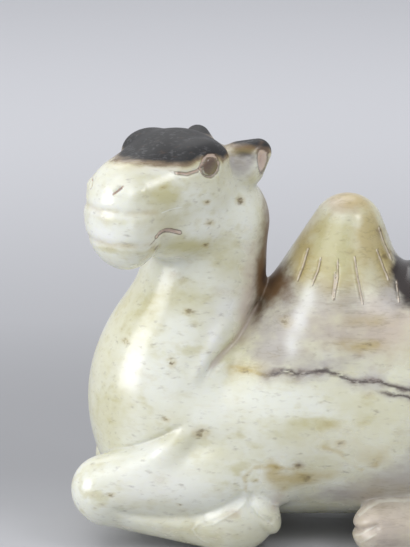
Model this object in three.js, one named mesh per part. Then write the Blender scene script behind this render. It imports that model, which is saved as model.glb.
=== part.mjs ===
// A recumbent two-humped camel, carved from a single jade pebble.
// Millimetres, +Z up. The camel faces -X with its head turned to its left, which is the -Y side.
// The form is a sum of rounded masses that melt into each other, as in polished stone, with the
// carver's grooves pressed in. It is meshed from a grid, and thinned where the stone is smooth.

import * as THREE from 'three';

// Driving dimensions
const HEAD_TURN = THREE.MathUtils.degToRad(42);  // how far the head is turned to the camel's left
const HEAD_ROLL = THREE.MathUtils.degToRad(1.2); // how far it leans over to that side
const HEAD_AT = [-23.6, -6.5, 58.38];            // the point between the eyes
const FAR_FORELEG_BACK = 3.0;                    // the right foreleg is tucked this much further back
const BASE_ROUND = 0.6;                          // rounding where the stone meets the surface it lies on

// Meshing
const GRID_LOW = [-41.2, -19.6, -1.3];
const GRID_HIGH = [41.2, 19.6, 65];
const CELL = 0.65;            // the side of a grid cell
const CELL_EDGE = 0.04;       // how far a vertex keeps from the sides of its cell
const TRIANGLES = 9700;       // what the thinned mesh keeps
const FLAT_SNAP = 0.06;       // a vertex this close to the ground plane lies in it
const PINCH_FILL = -0.01;     // the value given to a grid point that closes a pinch
const SLOPE_STEP = 0.02;      // the step to each side over which a slope is taken
const FLATNESS = 0.004;       // how much even spacing of the vertices counts when thinning
const FACE_CARE = 6;          // how much more the head's shape counts than the body's
const FACE_FROM = [-8, 43];   // the head is in front of this x and above this z
const LEAST_TURN = 0.3;       // a face may turn until its normal keeps this share of the old one
const LEAST_SLIVER = 0.12;    // a face keeps this area for the square of its longest side

// The masses: ellipsoids have a middle, three radii and a rise of their long axis in degrees.
// Chains have stations of [x, y, z, radius]. Leg masses are given for the left side, -Y.
const BODY = {
  trunk: { at: [8, 0, 18.7], radii: [30, 15.6, 16.2] },
  shoulder: { at: [-7, 0, 19], radii: [13.5, 15, 15] },
  back: { at: [10, 0, 27], radii: [24, 12.2, 14] },
  frontHump: [[1.1, 0, 31, 12.4], [2.8, 0, 46.35, 5.45]],
  rearHump: [[20.9, 0, 31, 12], [22.5, 0, 44.7, 5.2]],
};
const NECK = {
  chest: { at: [-22.3, 0, 20.5], radii: [13.9, 13.2, 18] },
  column: [[-20.8, 0, 30, 11], [-18.6, -0.3, 40, 8.7], [-17, -1.3, 48, 8.1]],
};
// The head's masses stand in its own frame: forward, to its left, and up from between the eyes.
const HEAD = {
  skull: { at: [-1.2, 0, -3], radii: [8.6, 8.6, 7.2] },
  nape: { at: [-8.5, 0, -6], radii: [5.2, 7.2, 6.5] },
  bridge: { at: [5.2, 0, -4.5], radii: [8.1, 7.1, 6.2] },
  jaw: { at: [-1.9, 0, -8.9], radii: [10, 7.6, 6.4] },
  muzzle: { at: [8.65, 0, -7.4], radii: [5.4, 6.6, 8] },
  brow: { at: [-0.9, 5.8, 0.6], radii: [4.4, 2.9, 2.8] },
  ear: [[-9.5, 5, -1.5, 3.6], [-11.3, 6.7, 0.55, 2]],
};
const FORELEG = {
  arm: [[-33.45, -9.5, 8.7, 4.9], [-17, -10.2, 12, 6]],
  flesh: { at: [-20, -10.3, 10.6], radii: [14, 5.4, 5.4] },
  elbow: { at: [-11, -10.4, 14], radii: [11, 4.8, 8], rise: 20 },
  upper: [
    [-33.2, -9.5, 8.8, 4.7], [-27.6, -11.2, 11.7, 3.6], [-23.8, -12.5, 15.1, 2.4], [-20.6, -13.2, 18.75, 1],
  ],
  shank: [[-33, -9.4, 6.9, 3.8], [-18, -11.6, 4, 3.6]],
  foot: { at: [-13.9, -12.15, 5.3], radii: [6.6, 3.9, 5.5], rise: 28 },
  toe: { at: [-10.2, -12.2, 6.6], radii: [2.3, 3.6, 4.4], rise: 32 },
};
const HINDLEG = {
  haunch: { at: [24.5, -8.8, 14.5], radii: [13, 7.9, 12] },
  shank: [[31, -11.5, 3.9, 4.5], [17, -12.3, 4.1, 4.6], [7.5, -12.8, 3.6, 4.2]],
};
const TAIL = [
  [35.4, 0, 28, 2.2], [36.5, -2.2, 22, 2], [35.6, -6.4, 15.5, 2],
  [32, -12, 11.5, 2.2], [27.2, -14.9, 10.8, 2.8], [22.5, -15.9, 12.2, 1.3],
];

// The grooves: strokes drawn in the side view (x, z), or on the head, with a width, a depth and
// the share of the stroke that fades out at each end.
const NECK_GROOVE = {
  points: [
    [-9.3, 37.9], [-10.3, 36], [-11.8, 34], [-13.7, 31.4], [-15.9, 29.6], [-17.7, 27.8], [-19.5, 25.5],
  ],
  width: 0.8, depth: 0.9, fade: 0.25,
};
const ARM_VALLEY = {
  points: [[-33, 14.6], [-30.2, 15.3], [-28.6, 16], [-25.2, 17.7], [-20.8, 20.5]],
  width: 0.5, depth: 0.4, fade: 0.3,
};
const LEG_GROOVES = {
  foldedShank: {
    points: [[-33.2, 7.6], [-29.5, 6], [-25.1, 5.6], [-20.6, 5.8], [-17, 7.2], [-14, 9.1], [-12.3, 10.8]],
    width: 0.6, depth: 0.3, fade: 0.12,
  },
  fetlock: {
    points: [[-12.4, 9.6], [-14.6, 8], [-17.5, 6.3], [-20, 5.3], [-20.2, 4.3], [-18.6, 1.7]],
    width: 0.55, depth: 0.12, fade: 0.1,
  },
  toes: { points: [[-12, 10.3], [-11.8, 7.7], [-10, 5.9], [-8.2, 5.2]], width: 0.55, depth: 0.28, fade: 0.1 },
};
const HIND_TOES = { points: [[2.6, 3.4], [7.6, 5.2]], width: 0.6, depth: 0.5, fade: 0.2 };
const LEG_GROOVES_OUT = 10; // the foreleg's grooves lie further out than this
const HIND_TOES_OUT = 9;
const HEAD_GROOVES = {
  lips: { height: -5.8, width: 0.8, depth: 0.34, from: 7 },
  chin: { height: -10.6, width: 0.7, depth: 0.24, from: 8 },
  nostril: { points: [[2.5, -3.2], [3.3, -2]], width: 0.4, depth: 0.45, fade: 0.3 },
  mouthCorner: {
    points: [[8.9, -10.4], [8, -9.7], [6.6, -9.3], [3.5, -9.4]],
    width: 0.5, depth: 0.55, fade: 0.15,
  },
  tearDuct: { points: [[1.4, 0.2], [2.8, -0.3], [4.4, -0.4]], width: 0.4, depth: 0.4, fade: 0.15 },
  eye: { at: [-0.3, 0.15], radius: 1.45, width: 0.42, depth: 0.5 },
  earHollow: { at: [-10.7, -0.4], radii: [0.8, 1.5], depth: 0.8 },
};
const LIP_FADE = 3;      // the length over which the lip lines come in
const NOSTRIL_FROM = 9;  // the nostrils lie further forward than this
const MOUTH_OUT = 3;     // the mouth, eyes and ears lie further out than these
const EYE_OUT = 4;
const EAR_OUT = 6;

// How widely two masses melt into each other, in millimetres
const MELT = {
  trunk: 8, shoulder: 8, humps: 4, betweenHumps: 1.4, chest: 4, column: 3, skull: 4, jaw: 3, muzzle: 1.6,
  brow: 2.4, ear: 1.3, head: 2, armFlesh: 3, elbow: 4, upper: 1.8, shank: 1.5, foot: 0.9, toes: 0.4,
  foreleg: 1.4, hindAnkle: 2, hindShank: 1.2, hindleg: 1.8, tailJoint: 1.5, tail: 1.2,
  neckTop: 2, neckBase: 14,
};
const NECK_MELT_HEIGHTS = [19, 29]; // between these the neck's melt goes from its base's to its top's

function smoothStep(low, high, value) {
  const t = Math.min(Math.max((value - low) / (high - low), 0), 1);
  return t * t * (3 - 2 * t);
}

// Joins two distances, with a fillet about as wide as melt.
function join(a, b, melt) {
  const h = Math.max(melt - Math.abs(a - b), 0) / melt;
  return Math.min(a, b) - (h * h * h * melt) / 6;
}

function ellipsoid(x, y, z, { at, radii, rise = 0 }) {
  const dx = x - at[0];
  const dz = z - at[2];
  const dy = y - at[1];
  const turn = THREE.MathUtils.degToRad(rise);
  const px = dx * Math.cos(turn) + dz * Math.sin(turn);
  const pz = dz * Math.cos(turn) - dx * Math.sin(turn);
  const [rx, ry, rz] = radii;
  const k0 = Math.hypot(px / rx, dy / ry, pz / rz);
  const k1 = Math.hypot(px / (rx * rx), dy / (ry * ry), pz / (rz * rz));
  return (k0 * (k0 - 1)) / Math.max(k1, 1e-6);
}

// A cone with round ends, between two stations
function roundCone(x, y, z, a, b) {
  const [ex, ey, ez] = [b[0] - a[0], b[1] - a[1], b[2] - a[2]];
  const [px, py, pz] = [x - a[0], y - a[1], z - a[2]];
  const length2 = ex * ex + ey * ey + ez * ez;
  const taper = a[3] - b[3];
  const slope2 = length2 - taper * taper;
  const along = px * ex + py * ey + pz * ez;
  const beyond = along - length2;
  const across = [px * length2 - ex * along, py * length2 - ey * along, pz * length2 - ez * along];
  const x2 = across[0] ** 2 + across[1] ** 2 + across[2] ** 2;
  const y2 = along * along * length2;
  const z2 = beyond * beyond * length2;
  const k = Math.sign(taper) * taper * taper * x2;
  if (Math.sign(beyond) * slope2 * z2 > k) return Math.sqrt(x2 + z2) / length2 - b[3];
  if (Math.sign(along) * slope2 * y2 < k) return Math.sqrt(x2 + y2) / length2 - a[3];
  return (Math.sqrt((x2 * slope2) / length2) + along * taper) / length2 - a[3];
}

function chain(x, y, z, stations, melt) {
  let d = roundCone(x, y, z, stations[0], stations[1]);
  for (let i = 1; i < stations.length - 1; i++) {
    d = join(d, roundCone(x, y, z, stations[i], stations[i + 1]), melt);
  }
  return d;
}

// How deep a stroke presses in at a point of the flat view that it is drawn in
function groove(a, b, { points, width, depth, fade }) {
  let nearest = Infinity;
  let along = 0;
  let total = 0;
  for (let i = 0; i < points.length - 1; i++) {
    const ex = points[i + 1][0] - points[i][0];
    const ey = points[i + 1][1] - points[i][1];
    const length = Math.hypot(ex, ey);
    const px = a - points[i][0];
    const py = b - points[i][1];
    const t = Math.min(Math.max((px * ex + py * ey) / (length * length), 0), 1);
    const distance = Math.hypot(px - t * ex, py - t * ey);
    if (distance < nearest) {
      nearest = distance;
      along = total + t * length;
    }
    total += length;
  }
  const share = along / total;
  const ends = smoothStep(0, fade, share) * smoothStep(0, fade, 1 - share);
  return depth * ends * Math.exp(-((nearest / width) ** 2));
}

function body(x, y, z) {
  const trunk = join(ellipsoid(x, y, z, BODY.trunk), ellipsoid(x, y, z, BODY.back), MELT.trunk);
  const front = join(trunk, ellipsoid(x, y, z, BODY.shoulder), MELT.shoulder);
  const humps = join(
    roundCone(x, y, z, ...BODY.frontHump),
    roundCone(x, y, z, ...BODY.rearHump),
    MELT.betweenHumps,
  );
  return join(front, humps, MELT.humps);
}

function neck(x, y, z) {
  return join(ellipsoid(x, y, z, NECK.chest), chain(x, y, z, NECK.column, MELT.column), MELT.chest);
}

function head(x, y, z) {
  const dx = x - HEAD_AT[0];
  const dy = y - HEAD_AT[1];
  const dz = z - HEAD_AT[2];
  const forward = -Math.cos(HEAD_TURN) * dx - Math.sin(HEAD_TURN) * dy;
  const across = Math.sin(HEAD_TURN) * dx - Math.cos(HEAD_TURN) * dy;
  const left = across * Math.cos(HEAD_ROLL) - dz * Math.sin(HEAD_ROLL);
  const up = across * Math.sin(HEAD_ROLL) + dz * Math.cos(HEAD_ROLL);
  const side = Math.abs(left);
  let d = ellipsoid(forward, left, up, HEAD.skull);
  d = join(d, ellipsoid(forward, left, up, HEAD.bridge), MELT.skull);
  d = join(d, ellipsoid(forward, left, up, HEAD.nape), MELT.skull);
  d = join(d, ellipsoid(forward, left, up, HEAD.jaw), MELT.jaw);
  d = join(d, ellipsoid(forward, left, up, HEAD.muzzle), MELT.muzzle);
  d = join(d, ellipsoid(forward, side, up, HEAD.brow), MELT.brow);
  d = join(d, roundCone(forward, side, up, ...HEAD.ear), MELT.ear);
  return d + face(forward, side, up);
}

// The carving of the face, pressed in alike on both cheeks
function face(forward, side, up) {
  const { lips, chin, nostril, mouthCorner, tearDuct, eye, earHollow } = HEAD_GROOVES;
  let depth = 0;
  for (const line of [lips, chin]) {
    const across = Math.exp(-(((up - line.height) / line.width) ** 2));
    depth += line.depth * across * smoothStep(line.from, line.from + LIP_FADE, forward);
  }
  if (forward > NOSTRIL_FROM) depth += groove(side, up, nostril);
  if (side > MOUTH_OUT) depth += groove(forward, up, mouthCorner);
  if (side > EYE_OUT) {
    const fromEye = Math.hypot(forward - eye.at[0], up - eye.at[1]);
    depth += eye.depth * Math.exp(-(((fromEye - eye.radius) / eye.width) ** 2));
    depth += groove(forward, up, tearDuct);
  }
  if (side > EAR_OUT) {
    const a = (forward - earHollow.at[0]) / earHollow.radii[0];
    const b = (up - earHollow.at[1]) / earHollow.radii[1];
    depth += earHollow.depth * Math.exp(-(a * a + b * b));
  }
  return depth;
}

function foreleg(x, y, z) {
  const px = y > 0 ? x - FAR_FORELEG_BACK : x;
  const py = -Math.abs(y);
  let d = join(roundCone(px, py, z, ...FORELEG.arm), ellipsoid(px, py, z, FORELEG.flesh), MELT.armFlesh);
  d = join(d, ellipsoid(px, py, z, FORELEG.elbow), MELT.elbow);
  d = join(d, chain(px, py, z, FORELEG.upper, MELT.upper), MELT.upper);
  d = join(d, roundCone(px, py, z, ...FORELEG.shank), MELT.shank);
  const foot = join(ellipsoid(px, py, z, FORELEG.foot), ellipsoid(px, py, z, FORELEG.toe), MELT.toes);
  d = join(d, foot, MELT.foot);
  if (py < -LEG_GROOVES_OUT) {
    for (const stroke of Object.values(LEG_GROOVES)) d += groove(px, z, stroke);
  }
  return d;
}

function hindleg(x, y, z) {
  const py = -Math.abs(y);
  const shank = chain(x, py, z, HINDLEG.shank, MELT.hindAnkle);
  const d = join(ellipsoid(x, py, z, HINDLEG.haunch), shank, MELT.hindShank);
  return py < -HIND_TOES_OUT ? d + groove(x, z, HIND_TOES) : d;
}

// The distance to the whole carving, below zero inside the stone
function carving(x, y, z) {
  const toTop = smoothStep(NECK_MELT_HEIGHTS[0], NECK_MELT_HEIGHTS[1], z);
  const neckMelt = MELT.neckBase + (MELT.neckTop - MELT.neckBase) * toTop;
  let d = join(body(x, y, z), neck(x, y, z), neckMelt);
  d = join(d, head(x, y, z), MELT.head);
  d = join(d, foreleg(x, y, z), MELT.foreleg);
  d = join(d, hindleg(x, y, z), MELT.hindleg);
  d = join(d, chain(x, y, z, TAIL, MELT.tailJoint), MELT.tail);
  const px = y > 0 ? x - FAR_FORELEG_BACK : x;
  d += groove(x, z, NECK_GROOVE) + groove(px, z, ARM_VALLEY);
  return -join(-d, z, BASE_ROUND);
}

function slope(x, y, z) {
  const e = SLOPE_STEP;
  const gx = carving(x + e, y, z) - carving(x - e, y, z);
  const gy = carving(x, y + e, z) - carving(x, y - e, z);
  const gz = carving(x, y, z + e) - carving(x, y, z - e);
  return [gx / (2 * e), gy / (2 * e), gz / (2 * e)];
}

// Walks a point onto the surface of the stone, without leaving its grid cell.
function settle(point) {
  const low = point.map((value, i) => GRID_LOW[i] + Math.floor((value - GRID_LOW[i]) / CELL) * CELL);
  for (let round = 0; round < 4; round++) {
    const d = carving(...point);
    const g = slope(...point);
    const stride = d / (g[0] ** 2 + g[1] ** 2 + g[2] ** 2);
    for (let i = 0; i < 3; i++) {
      const moved = point[i] - g[i] * stride;
      point[i] = Math.min(Math.max(moved, low[i] + CELL_EDGE), low[i] + CELL - CELL_EDGE);
    }
  }
  return point;
}

// Meshes the carving: one vertex in each grid cell that the surface passes through, and one quad
// round each grid edge that it crosses.
function meshFromGrid() {
  const count = [0, 1, 2].map((i) => Math.round((GRID_HIGH[i] - GRID_LOW[i]) / CELL) + 1);
  const index = (i, j, k) => (i * count[1] + j) * count[2] + k;
  const values = new Float64Array(count[0] * count[1] * count[2]);
  for (let i = 0; i < count[0]; i++) {
    for (let j = 0; j < count[1]; j++) {
      for (let k = 0; k < count[2]; k++) {
        const corner = [i, j, k].map((cell, n) => GRID_LOW[n] + cell * CELL);
        values[index(i, j, k)] = carving(...corner);
      }
    }
  }
  fillPinches(values, count, index);
  const vertices = [];
  const faces = [];
  const vertexOfCell = new Map();
  const cellVertex = (i, j, k) => {
    const key = index(i, j, k);
    if (!vertexOfCell.has(key)) {
      vertexOfCell.set(key, vertices.length);
      vertices.push(settle(cellMiddle(i, j, k)));
    }
    return vertexOfCell.get(key);
  };
  // The mean of the points where the surface crosses the cell's twelve edges
  const cellMiddle = (i, j, k) => {
    const sum = [0, 0, 0];
    let crossings = 0;
    for (let axis = 0; axis < 3; axis++) {
      for (let corner = 0; corner < 4; corner++) {
        const a = [0, 0, 0];
        a[(axis + 1) % 3] = corner & 1;
        a[(axis + 2) % 3] = corner >> 1;
        const b = [...a];
        b[axis] = 1;
        const va = values[index(i + a[0], j + a[1], k + a[2])];
        const vb = values[index(i + b[0], j + b[1], k + b[2])];
        if (va < 0 === vb < 0) continue;
        a[axis] = va / (va - vb);
        for (let n = 0; n < 3; n++) sum[n] += a[n];
        crossings++;
      }
    }
    return [i, j, k].map((cell, n) => GRID_LOW[n] + (cell + sum[n] / crossings) * CELL);
  };
  const back = [[0, 1, 0], [0, 0, 1], [1, 0, 0], [0, 1, 0], [0, 0, 1], [1, 0, 0]];
  for (let i = 1; i < count[0] - 1; i++) {
    for (let j = 1; j < count[1] - 1; j++) {
      for (let k = 1; k < count[2] - 1; k++) {
        const inside = values[index(i, j, k)] < 0;
        for (let axis = 0; axis < 3; axis++) {
          const next = [i, j, k];
          next[axis]++;
          if (values[index(...next)] < 0 === inside) continue;
          const p = back[axis];
          const q = back[axis + 1];
          const ring = [
            cellVertex(i, j, k),
            cellVertex(i - p[0], j - p[1], k - p[2]),
            cellVertex(i - p[0] - q[0], j - p[1] - q[1], k - p[2] - q[2]),
            cellVertex(i - q[0], j - q[1], k - q[2]),
          ];
          if (!inside) ring.reverse();
          faces.push([ring[0], ring[1], ring[2]], [ring[0], ring[2], ring[3]]);
        }
      }
    }
  }
  return { vertices, faces };
}

// Where stone touches stone only at a corner of a grid square, fills one of the open corners, so
// that no edge of the mesh is shared by four faces.
function fillPinches(values, count, index) {
  const squares = [[[1, 0, 0], [0, 1, 0]], [[0, 1, 0], [0, 0, 1]], [[1, 0, 0], [0, 0, 1]]];
  let filled = true;
  while (filled) {
    filled = false;
    for (let i = 0; i < count[0] - 1; i++) {
      for (let j = 0; j < count[1] - 1; j++) {
        for (let k = 0; k < count[2] - 1; k++) {
          for (const [p, q] of squares) {
            const corners = [
              index(i, j, k),
              index(i + p[0], j + p[1], k + p[2]),
              index(i + p[0] + q[0], j + p[1] + q[1], k + p[2] + q[2]),
              index(i + q[0], j + q[1], k + q[2]),
            ];
            const inside = corners.map((corner) => values[corner] < 0);
            if (inside[0] !== inside[2] || inside[1] !== inside[3] || inside[0] === inside[1]) continue;
            const open = inside[0] ? [corners[1], corners[3]] : [corners[0], corners[2]];
            values[values[open[0]] < values[open[1]] ? open[0] : open[1]] = PINCH_FILL;
            filled = true;
          }
        }
      }
    }
  }
}

function faceNormal(a, b, c) {
  const u = [b[0] - a[0], b[1] - a[1], b[2] - a[2]];
  const v = [c[0] - a[0], c[1] - a[1], c[2] - a[2]];
  return [u[1] * v[2] - u[2] * v[1], u[2] * v[0] - u[0] * v[2], u[0] * v[1] - u[1] * v[0]];
}

const dot = (a, b) => a[0] * b[0] + a[1] * b[1] + a[2] * b[2];
const distance = (a, b) => Math.hypot(a[0] - b[0], a[1] - b[1], a[2] - b[2]);

// The sum of squared distances to a set of planes, as the ten numbers of a symmetric matrix
class Planes {
  constructor() {
    this.m = new Float64Array(10);
  }
  add(n, offset, weight) {
    const row = [n[0], n[1], n[2], offset];
    let at = 0;
    for (let i = 0; i < 4; i++) {
      for (let j = i; j < 4; j++) this.m[at++] += row[i] * row[j] * weight;
    }
  }
  merge(other) {
    const sum = new Planes();
    for (let i = 0; i < 10; i++) sum.m[i] = this.m[i] + other.m[i];
    return sum;
  }
  cost([x, y, z]) {
    const [a, b, c, d, e, f, g, h, i, j] = this.m;
    const mixed = b * x * y + c * x * z + f * y * z + d * x + g * y + i * z;
    return a * x * x + e * y * y + h * z * z + 2 * mixed + j;
  }
  // The point with the least cost
  best() {
    const [a, b, c, d, e, f, g, h, i] = this.m;
    const det = a * (e * h - f * f) - b * (b * h - c * f) + c * (b * f - c * e);
    if (Math.abs(det) < 1e-12) return null;
    return [
      -(d * (e * h - f * f) + g * (c * f - b * h) + i * (b * f - c * e)) / det,
      -(d * (c * f - b * h) + g * (a * h - c * c) + i * (b * c - a * f)) / det,
      -(d * (b * f - c * e) + g * (b * c - a * f) + i * (a * e - b * b)) / det,
    ];
  }
}

class Heap {
  constructor() {
    this.items = [];
  }
  push(item) {
    const { items } = this;
    items.push(item);
    let i = items.length - 1;
    while (i > 0) {
      const parent = (i - 1) >> 1;
      if (items[parent].cost <= items[i].cost) break;
      [items[parent], items[i]] = [items[i], items[parent]];
      i = parent;
    }
  }
  pop() {
    const { items } = this;
    const top = items[0];
    const last = items.pop();
    if (items.length === 0) return top;
    items[0] = last;
    let i = 0;
    for (;;) {
      let least = i;
      for (const child of [2 * i + 1, 2 * i + 2]) {
        if (child < items.length && items[child].cost < items[least].cost) least = child;
      }
      if (least === i) return top;
      [items[least], items[i]] = [items[i], items[least]];
      i = least;
    }
  }
}

// Thins the mesh by closing its least important edges, and keeps it closed and free of folds.
function thin({ vertices, faces }, target) {
  const around = vertices.map(() => new Set());
  const planes = vertices.map(() => new Planes());
  faces.forEach((face, index) => {
    const n = faceNormal(...face.map((v) => vertices[v]));
    const size = Math.hypot(...n);
    const unit = n.map((value) => value / size);
    const [x, , z] = vertices[face[0]];
    const care = x < FACE_FROM[0] && z > FACE_FROM[1] ? FACE_CARE : 1;
    for (const v of face) {
      around[v].add(index);
      planes[v].add(unit, -dot(unit, vertices[v]), (care * size) / 6);
    }
  });
  vertices.forEach((p, v) => {
    planes[v].add([1, 0, 0], -p[0], FLATNESS);
    planes[v].add([0, 1, 0], -p[1], FLATNESS);
    planes[v].add([0, 0, 1], -p[2], FLATNESS);
  });
  const stamp = vertices.map(() => 0);
  const heap = new Heap();
  const offer = (a, b) => {
    const sum = planes[a].merge(planes[b]);
    const middle = vertices[a].map((value, i) => (value + vertices[b][i]) / 2);
    let to = sum.best() ?? middle;
    if (distance(to, middle) > distance(vertices[a], vertices[b])) to = middle;
    heap.push({ cost: sum.cost(to), a, b, to, sum, stampA: stamp[a], stampB: stamp[b] });
  };
  const neighbours = (v) => {
    const found = new Set();
    for (const index of around[v]) faces[index].forEach((other) => other !== v && found.add(other));
    return found;
  };
  // Closing an edge may not turn a face over, nor leave one that is a sliver.
  const folds = (from, gone, to) => {
    for (const index of around[from]) {
      const face = faces[index];
      if (face.includes(gone)) continue;
      const before = faceNormal(...face.map((v) => vertices[v]));
      const corners = face.map((v) => (v === from ? to : vertices[v]));
      const after = faceNormal(...corners);
      const size = Math.hypot(...after);
      if (dot(before, after) < LEAST_TURN * size * Math.hypot(...before)) return true;
      const sides = corners.map((corner, i) => distance(corner, corners[(i + 1) % 3]));
      const longest = Math.max(...sides);
      if (size < LEAST_SLIVER * longest * longest) return true;
    }
    return false;
  };
  faces.forEach((face) => {
    for (let i = 0; i < 3; i++) {
      if (face[i] < face[(i + 1) % 3]) offer(face[i], face[(i + 1) % 3]);
    }
  });
  let left = faces.length;
  while (left > target && heap.items.length > 0) {
    const { a, b, to, sum, stampA, stampB } = heap.pop();
    if (stamp[a] !== stampA || stamp[b] !== stampB) continue;
    const nearA = neighbours(a);
    const shared = [...neighbours(b)].filter((v) => nearA.has(v));
    if (shared.length !== 2 || folds(a, b, to) || folds(b, a, to)) continue;
    for (const index of [...around[b]]) {
      const face = faces[index];
      if (face.includes(a)) {
        face.forEach((v) => around[v].delete(index));
        faces[index] = null;
        left--;
      } else {
        face[face.indexOf(b)] = a;
        around[a].add(index);
      }
    }
    around[b].clear();
    vertices[a] = to;
    planes[a] = sum;
    stamp[a]++;
    stamp[b] = -1;
    const ring = neighbours(a);
    for (const v of ring) offer(a, v);
  }
  return { vertices, faces: faces.filter((face) => face !== null) };
}

function toGeometry({ vertices, faces }) {
  const number = new Map();
  const positions = [];
  for (const face of faces) {
    for (const v of face) {
      if (number.has(v)) continue;
      number.set(v, number.size);
      const [x, y, z] = vertices[v];
      positions.push(x, y, z < FLAT_SNAP ? 0 : z);
    }
  }
  const geometry = new THREE.BufferGeometry();
  geometry.setAttribute('position', new THREE.Float32BufferAttribute(positions, 3));
  geometry.setIndex(faces.flat().map((v) => number.get(v)));
  // The origin is the middle of the underside.
  geometry.computeBoundingBox();
  const middle = geometry.boundingBox.getCenter(new THREE.Vector3());
  geometry.translate(-middle.x, -middle.y, 0);
  geometry.computeVertexNormals();
  return geometry;
}

const jade = new THREE.MeshStandardMaterial({ name: 'jade', color: 0xc9cdb4, roughness: 0.25, metalness: 0 });

const camel = new THREE.Mesh(toGeometry(thin(meshFromGrid(), TRIANGLES)), jade);
camel.name = 'camel';

const figure = new THREE.Group();
figure.add(camel);

export default figure;
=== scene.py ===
import math
import bpy
import numpy as np
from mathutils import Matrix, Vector


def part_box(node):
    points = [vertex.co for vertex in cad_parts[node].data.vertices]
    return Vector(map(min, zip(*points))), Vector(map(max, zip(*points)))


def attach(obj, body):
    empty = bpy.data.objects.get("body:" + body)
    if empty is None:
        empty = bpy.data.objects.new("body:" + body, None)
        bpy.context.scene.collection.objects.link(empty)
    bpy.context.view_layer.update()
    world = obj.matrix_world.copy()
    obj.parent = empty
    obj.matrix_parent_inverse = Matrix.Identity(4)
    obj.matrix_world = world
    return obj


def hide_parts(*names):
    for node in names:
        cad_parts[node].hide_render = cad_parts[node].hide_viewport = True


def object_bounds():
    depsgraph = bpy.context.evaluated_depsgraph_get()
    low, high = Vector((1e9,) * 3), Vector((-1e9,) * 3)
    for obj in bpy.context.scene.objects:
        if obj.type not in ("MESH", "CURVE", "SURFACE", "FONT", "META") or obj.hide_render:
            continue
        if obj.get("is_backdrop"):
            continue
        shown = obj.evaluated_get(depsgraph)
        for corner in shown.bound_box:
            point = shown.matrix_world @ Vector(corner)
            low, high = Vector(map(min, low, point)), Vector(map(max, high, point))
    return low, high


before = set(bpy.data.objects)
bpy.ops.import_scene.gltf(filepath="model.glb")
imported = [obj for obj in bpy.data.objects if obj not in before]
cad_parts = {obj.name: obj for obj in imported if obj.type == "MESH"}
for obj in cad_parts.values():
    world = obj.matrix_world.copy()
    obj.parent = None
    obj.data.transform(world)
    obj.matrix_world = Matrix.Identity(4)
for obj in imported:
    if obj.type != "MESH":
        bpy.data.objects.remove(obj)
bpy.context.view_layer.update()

# Camel
# One jade pebble carved as a lying two-humped camel, its head turned to its left.
# The big forms are ground and polished first, then the face, feet, hair and folds are cut.
# Sizes are millimetres. The nose points to -X, the camel's left side to -Y, up is +Z.
HEAD_TURN = math.radians(42)
HEAD_ROLL = math.radians(1.2)
HEAD_AT = (-23.6, -6.5, 58.38)
FAR_FORELEG_BACK = 3.0
BASE_ROUND = 0.6
BODY = {
    "trunk": ((8, 0, 18.7), (30, 15.6, 16.2), 0),
    "shoulder": ((-7, 0, 19), (13.5, 15, 15), 0),
    "back": ((10, 0, 27), (24, 12.2, 14), 0),
    "front_hump": ((1.1, 0, 31, 12.4), (2.8, 0, 46.35, 5.45)),
    "rear_hump": ((20.9, 0, 31, 12), (22.5, 0, 44.7, 5.2)),
}
NECK = {
    "chest": ((-22.3, 0, 20.5), (13.9, 13.2, 18), 0),
    "column": ((-20.8, 0, 30, 11), (-18.6, -0.3, 40, 8.7), (-17, -1.3, 48, 8.1)),
}
HEAD = {
    "skull": ((-1.2, 0, -3.0), (8.6, 8.6, 7.2), 0),
    "nape": ((-8.5, 0, -6), (5.2, 7.2, 6.5), 0),
    "bridge": ((5.2, 0, -4.5), (8.1, 7.1, 6.2), 0),
    "jaw": ((-1.9, 0, -8.9), (10, 7.6, 6.4), 0),
    "muzzle": ((8.65, 0, -7.4), (5.4, 6.6, 8.0), 0),
    "brow": ((-0.9, 5.8, 0.6), (4.4, 2.9, 2.8), 0),
    "ear": ((-9.5, 5.0, -1.5, 3.6), (-11.3, 6.7, 0.55, 2.0)),
}
FORELEG = {
    "arm": ((-33.45, -9.5, 8.7, 4.9), (-17, -10.2, 12, 6)),
    "flesh": ((-20, -10.3, 10.6), (14, 5.4, 5.4), 0),
    "elbow": ((-11, -10.4, 14), (11, 4.8, 8), 20),
    "upper": (
        (-33.2, -9.5, 8.8, 4.7),
        (-27.6, -11.2, 11.7, 3.6),
        (-23.8, -12.5, 15.1, 2.4),
        (-20.6, -13.2, 18.75, 1),
    ),
    "shank": ((-33, -9.4, 6.9, 3.8), (-18, -11.6, 4, 3.6)),
    "foot": ((-13.9, -12.15, 5.3), (6.6, 3.9, 5.5), 28),
    "toe": ((-10.2, -12.2, 6.6), (2.3, 3.6, 4.4), 32),
}
HINDLEG = {
    "haunch": ((24.5, -8.8, 14.5), (13, 7.9, 12), 0),
    "shank": ((31, -11.5, 3.9, 4.5), (17, -12.3, 4.1, 4.6), (7.5, -12.8, 3.6, 4.2)),
}
TAIL = (
    (35.4, 0, 28, 2.2),
    (36.5, -2.2, 22, 2.0),
    (35.6, -6.4, 15.5, 2.0),
    (32, -12, 11.5, 2.2),
    (27.2, -14.9, 10.8, 2.8),
    (22.5, -15.9, 12.2, 1.3),
)
MELT = {
    "trunk": 8,
    "shoulder": 8,
    "humps": 4,
    "between_humps": 1.4,
    "chest": 4,
    "column": 3,
    "skull": 4,
    "jaw": 3,
    "muzzle": 1.6,
    "brow": 2.4,
    "ear": 1.3,
    "head": 2,
    "arm_flesh": 3,
    "elbow": 4,
    "upper": 1.8,
    "shank": 1.5,
    "foot": 0.9,
    "toes": 0.4,
    "foreleg": 1.4,
    "hind_joints": 2,
    "hind_shank": 1.2,
    "hindleg": 1.8,
    "tail_joint": 1.5,
    "tail": 1.2,
    "neck_top": 2.0,
    "neck_base": 14,
}
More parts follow.
